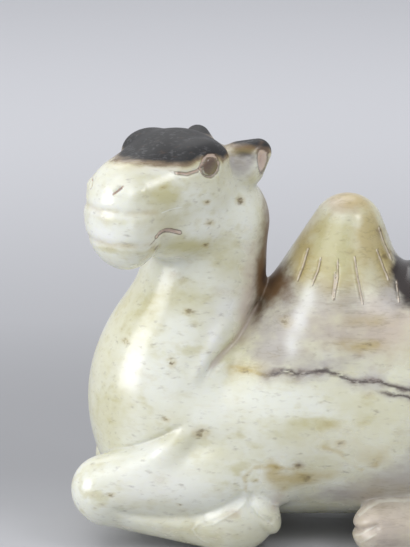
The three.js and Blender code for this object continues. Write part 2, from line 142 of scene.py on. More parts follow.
# Strokes cut into the stone, or raised where the depth is below zero. Each has its points, its width,
# its depth and the share of it that fades at an end
NECK_GROOVE = (
    ((-9.3, 37.9), (-10.3, 36), (-11.8, 34), (-13.7, 31.4), (-15.9, 29.6), (-17.7, 27.8), (-19.5, 25.5)),
    0.8,
    0.9,
    0.25,
)
NECK_RIDGE = (
    ((-14.5, 35.5), (-16.3, 33), (-17.5, 31.4), (-18.5, 29.2), (-19.9, 26.9), (-20.6, 25)),
    0.9,
    -0.28,
    0.25,
)
ARM_VALLEY = (((-33, 14.6), (-30.2, 15.3), (-28.6, 16), (-25.2, 17.7), (-20.8, 20.5)), 0.5, 0.4, 0.3)
LEG_GROOVES = (
    (
        ((-33.2, 7.6), (-29.5, 6), (-25.1, 5.6), (-20.6, 5.8), (-17, 7.2), (-14, 9.1), (-12.3, 10.8)),
        0.6,
        0.3,
        0.12,
    ),
    (((-12.4, 9.6), (-14.6, 8), (-17.5, 6.3), (-20, 5.3), (-20.2, 4.3), (-18.6, 1.7)), 0.55, 0.12, 0.1),
    (((-12, 10.3), (-11.8, 7.7), (-10, 5.9), (-8.2, 5.2)), 0.55, 0.28, 0.1),
)
HIND_TOES = (((2.6, 3.4), (7.6, 5.2)), 0.6, 0.5, 0.2)
LIPS = ((-5.8, 0.6, 0.24, 8), (-10.6, 0.55, 0.16, 8.5))
NOSTRIL = (((2.5, -3.2), (3.3, -2.2)), 0.26, 0.32, 0.2)
NOSE_WING = {"at": (5.3, -3.0), "radii": (0.85, 0.95), "depth": -0.34}
LIP_CORNER = {"at": (5.6, -7.6), "radii": (0.5, 1.2), "depth": -0.16}
MOUTH_CORNER = (((8.0, -9.5), (7.2, -9.1), (6.2, -9.0), (5.0, -9.1), (3.7, -9.5)), 0.3, 0.36, 0.15)
MOUTH_END = ((8.9, -10.6), (8.4, -10.1), (8.0, -9.5))
TEAR_DUCT = (((1.0, 0.5), (1.9, -0.4), (3.2, -0.8), (4.5, -0.6)), 0.26, 0.32, 0.12)
EYE = {"at": (-0.3, 0.1), "radius": 1.52, "width": 0.24, "depth": 0.38}
EAR_HOLLOW = {"at": (-10.7, -0.4), "radii": (0.8, 1.5), "depth": 0.8}
# Hair cut on the humps with single strokes of the wheel, seen from the side
HUMP_HAIR = (
    ((-3.3, 44.2), (-4.0, 42.0), (-4.8, 40.2)),
    ((-1.5, 43.3), (-1.9, 41.6), (-2.7, 39.9)),
    ((1.0, 43.2), (1.0, 41.0), (0.4, 38.1)),
    ((0.6, 41.6), (0.5, 40.2), (0.2, 38.2)),
    ((3.5, 43.6), (3.9, 41.0), (4.6, 37.4)),
    ((6.9, 44.2), (7.6, 42.4), (8.5, 40.2)),
    ((7.3, 47.1), (8.0, 45.0), (9.1, 42.6)),
    ((9.8, 39.6), (10.0, 37.4)),
)
HAIR_STROKE = (0.2, 0.3, 0.15)
HUMP_STEP = (19.4, -1.6)
# Thin ridges left standing along the folds of the feet
FOOT_RIDGES = (
    ((-18.7, 4.7), (-17.1, 5.2), (-15.3, 6.4), (-13.7, 7.4), (-12.5, 8.5), (-12.2, 10.7)),
    ((-12.1, 10.5), (-12.1, 9.2), (-11.6, 7.8), (-10.8, 6.9), (-9.9, 6.1), (-8.8, 5.2)),
    ((-18.7, 5.4), (-19.6, 4.9), (-20.3, 4.1), (-19.8, 3.2), (-19.0, 2.4), (-18.0, 2.0)),
    ((-10.8, 9.7), (-9.7, 8.8), (-8.5, 7.8), (-6.9, 7.0)),
    ((4.4, 6.1), (5.7, 7.3), (7.2, 7.9), (9.3, 8.1), (11.9, 8.1)),
    ((4.0, 3.2), (5.3, 4.2), (6.6, 5.0)),
    ((4.6, 2.4), (5.6, 3.2), (6.5, 3.9)),
)
RIDGE_STROKE = (0.17, -0.11, 0.2)


def smooth_step(low, high, value):
    t = np.clip((value - low)/(high - low), 0, 1)
    return t*t*(3 - 2*t)


def join(a, b, melt):
    h = np.maximum(melt - np.abs(a - b), 0)/melt
    return np.minimum(a, b) - h*h*h*melt/6


def ellipsoid(x, y, z, mass):
    at, radii, rise = mass
    dx = x - at[0]
    dy = y - at[1]
    dz = z - at[2]
    if rise:
        c = math.cos(math.radians(rise))
        s = math.sin(math.radians(rise))
        dx, dz = dx*c + dz*s, dz*c - dx*s
    k0 = np.sqrt((dx/radii[0])**2 + (dy/radii[1])**2 + (dz/radii[2])**2)
    k1 = np.sqrt((dx/radii[0]**2)**2 + (dy/radii[1]**2)**2 + (dz/radii[2]**2)**2)
    return k0*(k0 - 1)/np.maximum(k1, 1e-6)


def round_cone(x, y, z, a, b):
    ex = b[0] - a[0]
    ey = b[1] - a[1]
    ez = b[2] - a[2]
    px = x - a[0]
    py = y - a[1]
    pz = z - a[2]
    length2 = ex*ex + ey*ey + ez*ez
    taper = a[3] - b[3]
    slope2 = length2 - taper*taper
    along = px*ex + py*ey + pz*ez
    beyond = along - length2
    x2 = (px*length2 - ex*along)**2 + (py*length2 - ey*along)**2 + (pz*length2 - ez*along)**2
    y2 = along*along*length2
    z2 = beyond*beyond*length2
    k = np.sign(taper)*taper*taper*x2
    d = (np.sqrt(x2*slope2/length2) + along*taper)/length2 - a[3]
    d = np.where(np.sign(along)*slope2*y2 < k, np.sqrt(x2 + y2)/length2 - a[3], d)
    return np.where(np.sign(beyond)*slope2*z2 > k, np.sqrt(x2 + z2)/length2 - b[3], d)


def chain(x, y, z, stations, melt):
    d = round_cone(x, y, z, stations[0], stations[1])
    for a, b in zip(stations[1:-1], stations[2:]):
        d = join(d, round_cone(x, y, z, a, b), melt)
    return d


def nearest_on_line(a, b, points):
    """Distance to a line of points, the share of it that lies before, and the distance to its side."""
    nearest = np.full(np.shape(a), 1e6)
    along = np.zeros(np.shape(a))
    beside = np.full(np.shape(a), 1e6)
    total = 0.0
    for (ax, ay), (bx, by) in zip(points[:-1], points[1:]):
        ex = bx - ax
        ey = by - ay
        length = math.hypot(ex, ey)
        t = np.clip(((a - ax)*ex + (b - ay)*ey)/length**2, 0, 1)
        distance = np.hypot(a - ax - t*ex, b - ay - t*ey)
        closer = distance < nearest
        nearest = np.where(closer, distance, nearest)
        along = np.where(closer, total + t*length, along)
        beside = np.where(closer, ((b - ay)*ex - (a - ax)*ey)/length, beside)
        total += length
    return nearest, along/total, beside


def groove(a, b, stroke):
    points, width, depth, fade = stroke
    nearest, share, beside = nearest_on_line(a, b, points)
    ends = smooth_step(0, fade, share)*smooth_step(0, fade, 1 - share)
    return depth*ends*np.exp(-(nearest/width)**2)


def body(x, y, z):
    trunk = join(ellipsoid(x, y, z, BODY["trunk"]), ellipsoid(x, y, z, BODY["back"]), MELT["trunk"])
    front = join(trunk, ellipsoid(x, y, z, BODY["shoulder"]), MELT["shoulder"])
    front_hump = round_cone(x, y, z, *BODY["front_hump"])
    rear_hump = round_cone(x, y, z, *BODY["rear_hump"])
    humps = join(front_hump, rear_hump, MELT["between_humps"])
    return join(front, humps, MELT["humps"])


def neck(x, y, z):
    column = chain(x, y, z, NECK["column"], MELT["column"])
    return join(ellipsoid(x, y, z, NECK["chest"]), column, MELT["chest"])


def head_place(x, y, z):
    dx = x - HEAD_AT[0]
    dy = y - HEAD_AT[1]
    forward = -math.cos(HEAD_TURN)*dx - math.sin(HEAD_TURN)*dy
    left = math.sin(HEAD_TURN)*dx - math.cos(HEAD_TURN)*dy
    up = z - HEAD_AT[2]
    c = math.cos(HEAD_ROLL)
    s = math.sin(HEAD_ROLL)
    return forward, left*c - up*s, left*s + up*c


def head(x, y, z):
    forward, left, up = head_place(x, y, z)
    side = np.abs(left)
    skull = ellipsoid(forward, left, up, HEAD["skull"])
    d = join(skull, ellipsoid(forward, left, up, HEAD["bridge"]), MELT["skull"])
    d = join(d, ellipsoid(forward, left, up, HEAD["nape"]), MELT["skull"])
    d = join(d, ellipsoid(forward, left, up, HEAD["jaw"]), MELT["jaw"])
    d = join(d, ellipsoid(forward, left, up, HEAD["muzzle"]), MELT["muzzle"])
    d = join(d, ellipsoid(forward, side, up, HEAD["brow"]), MELT["brow"])
    d = join(d, round_cone(forward, side, up, *HEAD["ear"]), MELT["ear"])
    return d + face(forward, side, up)


def dimple(a, b, hollow):
    p = (a - hollow["at"][0])/hollow["radii"][0]
    q = (b - hollow["at"][1])/hollow["radii"][1]
    return hollow["depth"]*np.exp(-p*p - q*q)


def face(forward, side, up):
    depth = 0.0
    for height, width, deep, start in LIPS:
        depth = depth + deep*np.exp(-((up - height)/width)**2)*smooth_step(start, start + 3, forward)
    nose = groove(side, up, NOSTRIL) + dimple(side, up, NOSE_WING) + dimple(side, up, LIP_CORNER)
    depth = depth + np.where(forward > 9, nose*smooth_step(9, 10, forward), 0)
    depth = depth + np.where(side > 3, groove(forward, up, MOUTH_CORNER), 0)
    from_eye = np.hypot(forward - EYE["at"][0], up - EYE["at"][1])
    ring = EYE["depth"]*np.exp(-((from_eye - EYE["radius"])/EYE["width"])**2)
    around_eye = ring + groove(forward, up, TEAR_DUCT)
    depth = depth + np.where(side > 4, around_eye*smooth_step(4, 5, side), 0)
    return depth + np.where(side > 6, dimple(forward, up, EAR_HOLLOW), 0)


def foreleg(x, y, z):
    px = np.where(y > 0, x - FAR_FORELEG_BACK, x)
    py = -np.abs(y)
    arm = round_cone(px, py, z, *FORELEG["arm"])
    d = join(arm, ellipsoid(px, py, z, FORELEG["flesh"]), MELT["arm_flesh"])
    d = join(d, ellipsoid(px, py, z, FORELEG["elbow"]), MELT["elbow"])
    d = join(d, chain(px, py, z, FORELEG["upper"], MELT["upper"]), MELT["upper"])
    d = join(d, round_cone(px, py, z, *FORELEG["shank"]), MELT["shank"])
    toe = ellipsoid(px, py, z, FORELEG["toe"])
    foot = join(ellipsoid(px, py, z, FORELEG["foot"]), toe, MELT["toes"])
    d = join(d, foot, MELT["foot"])
    for stroke in LEG_GROOVES:
        d = d + np.where(py < -10, groove(px, z, stroke), 0)
    return d


def hindleg(x, y, z):
    py = -np.abs(y)
    shank = chain(x, py, z, HINDLEG["shank"], MELT["hind_joints"])
    d = join(ellipsoid(x, py, z, HINDLEG["haunch"]), shank, MELT["hind_shank"])
    return d + np.where(py < -9, groove(x, z, HIND_TOES), 0)


def foot_ridges(x, y, z):
    px = np.where((y > 0) & (x < 0), x - FAR_FORELEG_BACK, x)
    width, depth, fade = RIDGE_STROKE
    lines = np.zeros(np.shape(x))
    for points in FOOT_RIDGES:
        lines = np.minimum(lines, groove(px, z, (points, width, depth, fade)))
    return np.where(np.abs(y) > 10, lines, 0)


def hump_hair(x, y, z):
    width, depth, fade = HAIR_STROKE
    cuts = np.zeros(np.shape(x))
    for step_x, step_z in ((0, 0), HUMP_STEP):
        for points in HUMP_HAIR:
            stroke = (points, width, depth, fade)
            cuts = np.maximum(cuts, groove(x - step_x, z - step_z, stroke))
    return cuts


def carving(x, y, z):
    neck_melt = MELT["neck_top"] + (MELT["neck_base"] - MELT["neck_top"])*smooth_step(29, 19, z)
    d = join(body(x, y, z), neck(x, y, z), neck_melt)
    d = join(d, head(x, y, z), MELT["head"])
    d = join(d, foreleg(x, y, z), MELT["foreleg"])
    d = join(d, hindleg(x, y, z), MELT["hindleg"])
    d = join(d, chain(x, y, z, TAIL, MELT["tail_joint"]), MELT["tail"])
    px = np.where(y > 0, x - FAR_FORELEG_BACK, x)
    d = d + groove(x, z, NECK_GROOVE) + groove(x, z, NECK_RIDGE) + groove(px, z, ARM_VALLEY)
    d = d + hump_hair(x, y, z) + foot_ridges(x, y, z)
    return -join(-d, z, BASE_ROUND)


# The stone is followed on a fine grid, worked out only near its surface
GRID_LOW = (-41.0, -21.0, -1.2)
BLOCK = 1.6
BLOCKS = (52, 26, 42)
CELL = 0.2
REACH = 1.25
PORTION = 60000


def portions(points):
    """The points in shares that the memory holds with ease."""
    return np.array_split(points, len(points)//PORTION + 1)


def follow_surface():
    low = np.array(GRID_LOW)
    shape = np.array(BLOCKS)
    index = np.stack(np.meshgrid(*[np.arange(n) for n in shape], indexing="ij"), -1).reshape(-1, 3)
    size = BLOCK
    parts = int(round(BLOCK/CELL))
    field = np.ones(tuple(shape*parts), np.float32)
    while True:
        middle = low + (index + 0.5)*size - CELL/2
        value = np.concatenate([carving(*portion.T) for portion in portions(middle)])
        scale = int(round(size/CELL))
        if scale == 1:
            field[tuple(index.T)] = value
            return field
        near = np.abs(value) < size*0.87*REACH + 0.12
        for block in index[(value < 0) & ~near]*scale:
            a, b, c = block
            field[a:a + scale, b:b + scale, c:c + scale] = -1
        step = 4 if scale % 4 == 0 and scale > 4 else 2
        offsets = np.stack(np.meshgrid(*[np.arange(step)]*3, indexing="ij"), -1).reshape(-1, 3)
        index = (index[near][:, None]*step + offsets).reshape(-1, 3)
        size /= step


def slope(points):
    e = 0.02
    x, y, z = points.T
    here = carving(x, y, z)
    there = [carving(x + e, y, z), carving(x, y + e, z), carving(x, y, z + e)]
    return here, np.stack([(t - here)/e for t in there], -1)


def net(field):
    inside = field < 0
    corners = inside[:-1, :-1, :-1].astype(np.int8)
    for a, b, c in ((1, 0, 0), (0, 1, 0), (0, 0, 1), (1, 1, 0), (1, 0, 1), (0, 1, 1), (1, 1, 1)):
        na = field.shape[0] - 1
        nb = field.shape[1] - 1
        nc = field.shape[2] - 1
        corners += inside[a:a + na, b:b + nb, c:c + nc]
    cells = np.argwhere((corners > 0) & (corners < 8))
    number = np.full(corners.shape, -1, np.int32)
    number[tuple(cells.T)] = np.arange(len(cells))
    where = np.zeros((len(cells), 3))
    count = np.zeros(len(cells))
    for axis in range(3):
        others = [k for k in range(3) if k != axis]
        for p in (0, 1):
            for q in (0, 1):
                start = cells.copy()
                start[:, others[0]] += p
                start[:, others[1]] += q
                end = start.copy()
                end[:, axis] += 1
                f0 = field[tuple(start.T)].astype(float)
                f1 = field[tuple(end.T)].astype(float)
                crossed = (f0 < 0) != (f1 < 0)
                t = np.where(crossed, f0/np.where(crossed, f0 - f1, 1), 0)
                spot = start.astype(float)
                spot[:, axis] += t
                where += spot*crossed[:, None]
                count += crossed
    points = np.array(GRID_LOW) + (where/count[:, None])*CELL
    quads = []
    for axis in range(3):
        near = [slice(None)]*3
        far = [slice(None)]*3
        near[axis] = slice(0, -1)
        far[axis] = slice(1, None)
        a = inside[tuple(near)]
        b = inside[tuple(far)]
        edges = np.argwhere(a != b)
        u = (axis + 1) % 3
        v = (axis + 2) % 3
        edges = edges[(edges[:, u] > 0) & (edges[:, v] > 0)]
        ring = []
        for p, q in ((1, 1), (0, 1), (0, 0), (1, 0)):
            cell = edges.copy()
            cell[:, u] -= p
            cell[:, v] -= q
            ring.append(number[tuple(cell.T)])
        ring = np.stack(ring, -1)
        leaving = a[tuple(edges.T)]
        ring[~leaving] = ring[~leaving][:, ::-1]
        quads.append(ring)
    return points, np.concatenate(quads)


def settle(points):
    for _ in range(2):
        moved = []
        for portion in portions(points):
            here, pull = slope(portion)
            length2 = np.maximum((pull**2).sum(1), 0.05)
            step = -here/length2
            moved.append(portion + np.clip(step, -CELL/2, CELL/2)[:, None]*pull)
        points = np.concatenate(moved)
    points[:, 2] = np.where(points[:, 2] < 0.03, 0, points[:, 2])
    return points


field = follow_surface()
points, quads = net(field)
points = settle(points)
mesh = bpy.data.meshes.new("camel_stone")
mesh.from_pydata(points.tolist(), [], quads.tolist())
camel = bpy.data.objects.new("camel_stone", mesh)
bpy.context.scene.collection.objects.link(camel)
TRIANGLES = 190000
if 2*len(quads) > TRIANGLES:
    thin = camel.modifiers.new("thin", "DECIMATE")
    thin.ratio = TRIANGLES/(2*len(quads))
    thin.use_collapse_triangulate = True
    done = camel.evaluated_get(bpy.context.evaluated_depsgraph_get())
    camel.data = bpy.data.meshes.new_from_object(done)
    camel.modifiers.clear()
mesh = camel.data

# What the colour follows: how far a point is from the skin's edge, the vein and the cuts, and the stains,
# with the painted highlights and painted shade kept among them
SKIN_EDGE = (
    (-11.5, 1.1), (-9.4, 1.7), (-7.4, 1.7), (-5.5, 1.0), (-3.9, 1.1), (-2.6, 0.8), (-1.5, 1.5),
    (1, 1.6), (1.7, 1.35), (2.7, 0.85), (3.7, 0.6), (5.2, 0.65), (6.7, 0.75), (8.1, 0.95),
)
VEIN = (
    (-15.5, 27.9), (-12.5, 27.5), (-9.8, 27.3), (-7.3, 27.8), (-5.1, 27.5), (-2.8, 27.9), (-0.9, 28.1),
    (0.9, 27.4), (3.1, 26.7), (6.7, 26.6), (10.1, 25.6), (15, 24.6), (20, 23.5),
)
LOW_VEIN = ((2, 27), (4.4, 26), (7, 25.1), (10.4, 24.6), (15, 23.4), (20, 22.4))
RUST_LINES = (
    ((-0.8, 16.9), (1.2, 16.2), (2.6, 14.8), (4.7, 13.2)),
    ((-12.4, 10.6), (-12.7, 12.4), (-11, 13.8), (-8.6, 14), (-5.2, 13.4), (-3.6, 12)),
)
WHISKER = ((7.4, -6.0), (5.8, -5.6), (4.1, -5.5))
# Each patch of a stain, of painted highlight or of painted shade has its middle, how far it reaches along
# each axis and its strength
STAINS_AND_PAINTED_LIGHT = {
    "russet": (
        ((-9.0, -3, 45.5), (2.0, 7, 6), 0.85),
        ((-9.4, -3, 39.5), (1.9, 7, 3.4), 1.1),
        ((-6.2, -4, 38.6), (1.9, 5, 3.2), 0.7),
        ((-10.8, -4.5, 34.8), (1.3, 4, 2.4), 0.6),
        ((-10, 2, 52), (3, 5, 5), 0.5),
        ((-13, -5.2, 60), (1.8, 3, 1.0), 0.6),
        ((9.4, -4, 42.6), (1.5, 5, 3.4), 0.5),
        ((7.4, -4.5, 46.6), (1.0, 5, 1.8), 0.4),
    ),
    "ochre": (
        ((3.5, -2, 51.2), (3.4, 5, 1.6), 0.8),
        ((6.2, -5.2, 47.2), (1.6, 4, 3.2), 1.2),
        ((8.4, -6, 43), (2.0, 4, 3.6), 1.1),
        ((-4.2, -3, 43.4), (1.6, 5, 5.2), 1.0),
        ((-1.6, -6, 41), (3.4, 5, 3.6), 0.5),
        ((3, -7, 39.6), (4.0, 5, 2.6), 0.5),
        ((-10.5, -11, 27.8), (3.4, 4, 1.4), 0.5),
        ((4.5, -5, 45), (2.0, 5, 3.6), 0.6),
        ((3.5, -8, 35.2), (5.0, 5, 1.0), 0.5),
        ((3.5, -10, 31.4), (4.0, 5, 1.2), 0.4),
        ((-2.2, -3, 48), (1.6, 5, 2.4), 0.5),
        ((-8.6, -15, 13.2), (1.3, 3, 2.0), 0.75),
        ((-4.8, -15.1, 12), (3.2, 3, 1.4), 0.75),
        ((-0.6, -14.5, 12.4), (2.2, 3, 1.0), 0.55),
        ((0.8, -15.6, 17.4), (3.4, 3, 1.0), 0.3),
        ((6.4, -14.6, 15.6), (3.2, 3, 1.8), 0.6),
        ((-5.8, -15, 10.8), (3.6, 4, 1.6), 0.35),
        ((8, -14, 9.4), (6, 5, 3), 0.35),
        ((1, -15, 20), (4, 5, 1.6), 0.35),
        ((-13.1, -5.8, 59.4), (1.5, 2, 0.9), 0.7),
        ((-13.6, -11.4, 27.6), (2.2, 3, 0.8), 0.55),
        ((4, -11.5, 31.6), (6, 4, 0.9), 0.4),
        ((6, -10.5, 34.6), (4, 4, 0.9), 0.35),
        ((-28.6, -16.5, 43.2), (2.4, 3, 1.8), 0.3),
        ((-20.8, -12.5, 44.2), (2.6, 3, 0.9), 0.35),
        ((-20, 14, 20), (3, 4, 2), 0.7),
        ((2, 14, 22), (5, 4, 2), 0.5),
        ((14, 15, 14), (4, 4, 2), 0.5),
        ((24, -15, 24), (3, 4, 2), 0.6),
    ),
    "milk": (
        ((-5, -15, 23), (6, 8, 3), 0.7),
        ((-12, -15, 14), (9, 7, 7), 0.5),
        ((-24, -14, 10), (13, 7, 5), 0.6),
        ((-31, -15, 50), (5, 6, 7), 1.0),
        ((-18, -10, 50.5), (4, 6, 4), 0.6),
        ((-22, -12, 40), (6, 6, 7), 0.45),
        ((-36, -12, 9), (4, 6, 5), 0.8),
        ((-22, -13, 54.5), (5, 4, 2), 0.7),
        ((-12.5, -8, 50), (2.5, 5, 8), 0.6),
        ((-21, -14, 24), (8, 8, 5), 0.5),
        ((-22, -12, 32), (4, 6, 4), 0.7),
        ((-26, -12, 27), (3, 6, 6), 0.4),
        ((-6, -11, 30.5), (3, 5, 2), 0.3),
        ((14, 13, 26), (14, 8, 8), 0.6),
        ((26, -8, 16), (12, 10, 8), 0.6),
    ),
    # Pale patches, most of them painted highlights where the polish catches the window and the lamp
    "pale_and_highlight": (
        ((-3.2, -7, 38), (1.2, 6, 2.2), 0.75),
        ((-4.4, -8, 34.8), (1.2, 6, 2.2), 0.9),
        ((-5.8, -9, 31.4), (1.3, 6, 2.2), 0.8),
        ((-24.6, -14.5, 58.9), (3.4, 4, 1.1), 1.0),
        ((-32.4, -13, 48.9), (2.4, 6, 1.1), 0.6),
        ((-33.6, -12, 53), (1.6, 6, 1.8), 0.4),
        ((-30, -12, 28), (2.0, 6, 4.5), 0.2),
        ((-28.2, -11, 27), (2.2, 6, 3.5), 0.4),
        ((-17.3, -10, 31.4), (0.9, 6, 1.8), 0.5),
        ((-15, -9, 37), (2.6, 6, 4.5), 0.6),
        ((-17, -10, 33), (2.0, 6, 3.5), 0.4),
        ((-25.5, -15, 50), (3.6, 6, 4), 0.45),
        ((-33, -13, 50), (3.4, 6, 4.4), 0.55),
        ((-30.5, -13, 56.4), (3.6, 6, 2.6), 0.6),
        ((-26, -14, 11.4), (8, 6, 4), 0.6),
        ((-15, -14, 5), (5, 5, 4), 0.35),
        ((-1, -15, 16.4), (8, 6, 3), 0.35),
        ((-18.7, -11, 28.8), (0.9, 6, 1.8), 0.6),
        ((-26, -14, 16.4), (3.6, 6, 1.0), 0.4),
        ((-21.5, -13, 19.2), (2.4, 6, 1.0), 0.4),
    ),
    "green": (
        ((-19.6, -11.6, 45.6), (2.8, 4, 2.6), 0.6),
        ((-23.4, -13, 50.6), (3.2, 4, 2.4), 0.45),
        ((-24.4, -15.5, 54.6), (2.8, 4, 2.2), 0.9),
        ((-22.8, -13.5, 46.4), (3.6, 4, 1.2), 0.6),
        ((-25.4, -15, 49.8), (2.0, 4, 1.6), 0.5),
        ((-32.5, -13, 51.5), (1.6, 4, 4.0), 0.5),
        ((-29, -15, 51.3), (4.5, 4, 0.7), 0.6),
        ((-31, -15, 46.7), (4.5, 4, 0.6), 0.45),
        ((0.2, -7, 44.4), (4.2, 5, 5.0), 1.1),
        ((-28, -10, 35), (4, 6, 4), 0.5),
        ((-31.5, -9, 22), (4, 6, 5), 0.45),
        ((-22, -9, 38), (5, 5, 1.8), 0.5),
        ((-1, -15, 20.6), (5, 6, 1.4), 0.45),
        ((-7, -15, 19), (5, 6, 3), 0.4),
        ((-15, -7, 44), (2, 4, 4), 0.4),
        ((-17, -14, 14), (5, 4, 3), 0.4),
        ((-25, -14, 8.4), (5, 4, 1.2), 0.4),
        ((10, 12, 26), (10, 8, 6), 0.7),
        ((28, -10, 20), (6, 8, 5), 0.7),
    ),
    "rose": (
        ((2.4, -2, 51.2), (3.4, 5, 2.2), 0.9),
        ((8.5, -9, 33.5), (5, 6, 4.4), 0.8),
        ((0, -9, 33.5), (8, 6, 5), 0.65),
        ((-12.6, -7.6, 34.4), (1.5, 4, 4.2), 0.5),
        ((-11.4, -7, 41), (2.0, 5, 6.0), 0.5),
        ((-8, -13, 8.2), (2, 3, 2.6), 0.5),
        ((-14.2, -14, 7.0), (1.6, 3, 1.0), 0.5),
        ((8, -14, 4.5), (6, 5, 4), 1.15),
        ((-22, 0, 4), (8, 20, 4), 0.25),
    ),
    "grey_and_shade": (
        ((9.0, -7.6, 38.2), (2.2, 4, 3.0), 0.9),
        ((-1.6, -7, 38.4), (1.6, 5, 3.0), 0.5),
        ((2.6, -7.4, 38), (3.0, 5, 2.6), 0.6),
        ((-9, -11, 29.8), (3.4, 4, 1.4), 0.55),
        ((0, -12, 28.8), (8, 5, 1.6), 0.4),
        # Painted shade on and around the hind foot
        ((9, -14, 3.4), (5, 5, 3), 0.65),
        ((6.2, -7.4, 44.6), (2.2, 4, 1.6), 0.25),
        ((-8.4, -8, 32.6), (3.6, 5, 3.6), 0.6),
        ((-6.0, -7, 38.2), (2.4, 4, 3.2), 0.6),
        ((0.5, -9, 33), (9, 6, 5), 0.5),
        ((-13.4, -6, 58.2), (2.2, 3, 2.2), 1.3),
        ((-4.8, -15.1, 14.1), (1.0, 2, 0.8), 0.7),
        # Painted shade above the hind foot and under the belly
        ((9, -14, 10.4), (6, 6, 3.4), 0.75),
        ((2, -12, 8.6), (6, 6, 1.8), 0.6),
        ((12, -13, 16), (3.4, 6, 6), 0.4),
        ((-12, -12, 35.6), (1.4, 4, 1.2), 0.25),
        ((14, 12, 12), (9, 8, 5), 0.5),
    ),
    "dark": (
        ((16.9, 0, 41), (5.0, 9, 7), 1.2),
        ((-12.6, -5.3, 59.4), (2.0, 3, 1.5), 0.9),
        ((23, 0, 47), (5, 6, 6), 1.0),
        # This patch darkens the valley between the humps: painted shade
        ((12.0, -4, 39.6), (2.3, 5, 3.7), 1.9),
        ((30, 2, 34), (4, 8, 4), 0.5),
    ),
}
# Each speck has its middle and its size, as a share of the usual reach
SPECK_REACH = (0.95, 2.5, 0.7)
SPECKS = (
    (-24.2, -13.1, 20.5, 0.9), (-19.2, -13.1, 18.7, 1.9), (-11.8, -14.4, 21.8, 0.7), (-32.4, -14.5, 9.4, 0.9),
    (-8.1, -15.2, 13.8, 1.0), (-4.8, -15.1, 14, 1.2), (-11.1, -15.5, 11.8, 0.7), (-3.6, -14.3, 11.6, 1.5),
    (1.4, -15.6, 17.5, 1.1), (6.2, -14.6, 14.1, 1.3), (-20.9, -10, 36.1, 1.2), (-23.3, -12, 28.8, 1.1),
    (-30.3, -7.9, 31.1, 1.0), (-17.8, -11.6, 49.8, 1.2), (-13.3, -7.6, 52.2, 1.2), (-18.1, -12.6, 53, 0.9),
    (-24.5, -15.7, 55.8, 0.8), (-25.7, -14.5, 46.7, 1.4), (-18.4, -10.2, 46.1, 0.9), (-12.5, -11, 27.6, 1.2),
    (8.2, -5.4, 43.2, 1.6), (5.5, -11, 31.6, 1.8), (-6.4, -9, 34.4, 1.6), (-22.2, -14.6, 8.2, 0.9),
    (-34.6, -12.6, 8.6, 0.6), (-28, 13, 24, 1.6), (-10, 15, 16, 1.8), (10, 15, 20, 2.0), (26, -14, 18, 1.6),
)


def keep(name, values):
    layer = mesh.attributes.new(name, "FLOAT", "POINT")
    layer.data.foreach_set("value", np.asarray(values, np.float32))


def keep_strokes(name, a, b, strokes, where):
    """Keeps the distance to the nearest stroke, and how far off to its side, which crosses zero on it."""
    near = np.full(len(a), 9.0)
    beside = np.full(len(a), 9.0)
    for points in strokes:
        distance, share, off = nearest_on_line(a, b, points)
        closer = (distance < near) & where
        near = np.where(closer, distance, near)
        beside = np.where(closer, off, beside)
    keep(name + "_near", near)
    keep(name + "_beside", beside)


spots = np.empty(len(mesh.vertices)*3)
mesh.vertices.foreach_get("co", spots)
spots = spots.reshape(-1, 3)
x, y, z = spots.T
forward, left, up = head_place(x, y, z)
side = np.abs(left)
off_head = 20*smooth_step(47, 43, z)
ear_tip = smooth_step(-12.2, -13, forward)*smooth_step(5, 6, side)
keep("above_skin", up - np.interp(forward, *zip(*SKIN_EDGE)) + 1.8*ear_tip - off_head)
keep("above_vein", z - np.interp(x, *zip(*VEIN)))
keep("above_low_vein", z - np.interp(x, *zip(*LOW_VEIN)))
flank = smooth_step(9, 11.5, np.abs(y))*smooth_step(30, 16, x)
keep("vein_dark", smooth_step(-11.4, -9, x)*flank)
keep("vein_rust", smooth_step(-16, -14, x)*smooth_step(-8, -11, x)*flank)
keep("low_vein_dark", smooth_step(6, 9, x)*flank)
keep_strokes("hair", x, z, HUMP_HAIR, np.abs(y) < 20)
rear_hair = [[(a + HUMP_STEP[0], b + HUMP_STEP[1]) for a, b in points] for points in HUMP_HAIR]
keep_strokes("rear_hair", x, z, rear_hair, np.abs(y) < 20)
ridge_x = np.where((y > 0) & (x < 0), x - FAR_FORELEG_BACK, x)
keep_strokes("ridge", ridge_x, z, FOOT_RIDGES, np.abs(y) > 10)
eye_a = forward - EYE["at"][0]
eye_b = up - EYE["at"][1]
keep("eye_round", np.where(side > 4, np.hypot(eye_a, eye_b), 9))
keep("eye_upper", np.where(side > 4, eye_b*0.8 + eye_a*0.6, 0))
keep_strokes("duct", forward, up, [TEAR_DUCT[0]], side > 4)
keep_strokes("mouth", forward, up, [MOUTH_CORNER[0]], side > 3)
keep_strokes("mouth_end", forward, up, [MOUTH_END], side > 3)
keep_strokes("rust_line", x, z, RUST_LINES, y < -8)
keep_strokes("whisker", forward, up, [WHISKER], side > 3)
keep_strokes("nostril", side, up, [NOSTRIL[0]], forward > 9)
keep("ear_hollow", np.where(side > 6, dimple(forward, up, EAR_HOLLOW)/EAR_HOLLOW["depth"], 0))
keep("neck_cut", groove(x, z, NECK_GROOVE)/NECK_GROOVE[2])
lip_lines = sum(np.exp(-((up - lip[0])/0.5)**2) for lip in LIPS)
keep("lip_line", lip_lines*smooth_step(7.5, 9, forward)*smooth_step(40, 44, z))
for patch_name, marks in STAINS_AND_PAINTED_LIGHT.items():
    strength = np.zeros(len(x))
    for at, radii, share in marks:
        away = ((x - at[0])/radii[0])**2 + ((y - at[1])/radii[1])**2 + ((z - at[2])/radii[2])**2
        strength += share*np.exp(-away)
    keep(patch_name, strength)
strength = np.zeros(len(x))
for at_x, at_y, at_z, share in SPECKS:
    across = (x - at_x)/SPECK_REACH[0]
    inward = (y - at_y)/SPECK_REACH[1]
    upward = (z - at_z)/SPECK_REACH[2]
    strength += np.exp(-(across**2 + inward**2 + upward**2)/share**2)
keep("speck", strength)

